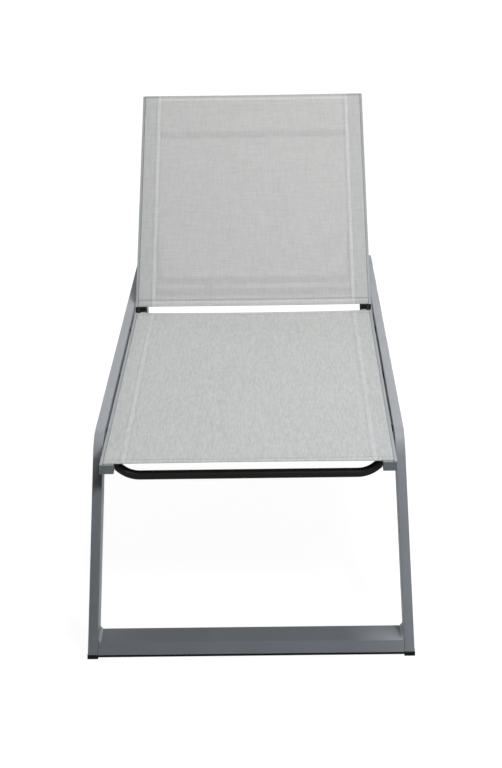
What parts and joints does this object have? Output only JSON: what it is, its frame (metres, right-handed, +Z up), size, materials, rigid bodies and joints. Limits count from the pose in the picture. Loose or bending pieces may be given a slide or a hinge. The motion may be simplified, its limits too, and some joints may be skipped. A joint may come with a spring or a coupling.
{
  "type": "sun lounger",
  "caption": "Low sun lounger with bent flat-tube side frames, a stretched mesh seat and a reclining mesh backrest held by a stay on notched racks.",
  "frame": {"origin": "on the floor, under the middle of the base", "axes": "+X to the right seen from the foot end, +Y toward the head end, +Z up"},
  "size_m": [0.6626, 2.0776, 0.8508],
  "materials": {
    "frame_paint": "satin grey powder coat on aluminium flat tube",
    "rail_metal": "satin light grey powder coat on extruded aluminium",
    "dark_metal": "satin dark grey powder coat on aluminium tube",
    "steel_fastener": "plain stainless steel",
    "black_plastic": "moulded black plastic, fine grain",
    "grey_plastic": "moulded mid grey plastic, fine grain",
    "sling_mesh": "coated open-weave mesh, light grey",
    "keder_cord": "plain round cord"
  },
  "bodies": {
    "frame": {"left_side_frame": "frame_paint", "right_side_frame": "frame_paint", "front_floor_bar": "frame_paint", "rear_floor_bar": "frame_paint", "front_left_foot": "black_plastic", "front_right_foot": "black_plastic", "rear_left_foot": "black_plastic", "rear_right_foot": "black_plastic", "seat_left_rail": "rail_metal", "seat_right_rail": "rail_metal", "seat_front_crossbar": "dark_metal", "seat_rear_crossbar": "dark_metal", "seat_left_front_cap": "grey_plastic", "seat_right_front_cap": "grey_plastic", "seat_sling": "sling_mesh", "seat_left_keder": "keder_cord", "seat_right_keder": "keder_cord", "seat_rail_spacers": "black_plastic", "seat_rail_bolts": "steel_fastener", "left_hinge_tongue": "rail_metal", "right_hinge_tongue": "rail_metal", "left_hinge_pin": "dark_metal", "right_hinge_pin": "dark_metal", "hinge_washers": "black_plastic", "left_ratchet_rack": "black_plastic", "right_ratchet_rack": "black_plastic", "rack_screws": "steel_fastener"},
    "backrest": {"backrest_left_rail": "rail_metal", "backrest_right_rail": "rail_metal", "backrest_lower_crossbar": "dark_metal", "backrest_upper_crossbar": "dark_metal", "backrest_left_top_cap": "grey_plastic", "backrest_right_top_cap": "grey_plastic", "left_hinge_lug": "rail_metal", "right_hinge_lug": "rail_metal", "backrest_sling": "sling_mesh", "backrest_left_keder": "keder_cord", "backrest_right_keder": "keder_cord", "left_stay_bracket": "dark_metal", "right_stay_bracket": "dark_metal", "stay_pivot_pins": "steel_fastener", "stay_pivot_washers": "black_plastic"},
    "stay": {"support_stay": "dark_metal", "stay_end_plugs": "black_plastic"}
  },
  "joints": [
    {"name": "backrest_recline", "type": "hinge", "parent": "frame", "child": "backrest", "pos_m": [0, 0.248, 0.389], "axis": [1, 0, 0], "range_deg": [-37, 23]},
    {"name": "stay_swing", "type": "hinge", "parent": "backrest", "child": "stay", "pos_m": [0, 0.47647, 0.53612], "axis": [1, 0, 0], "range_deg": [-47, 75]}
  ],
  "couplings": [
    {"joint": "stay_swing", "follows": "backrest_recline", "ratio": -2}
  ]
}
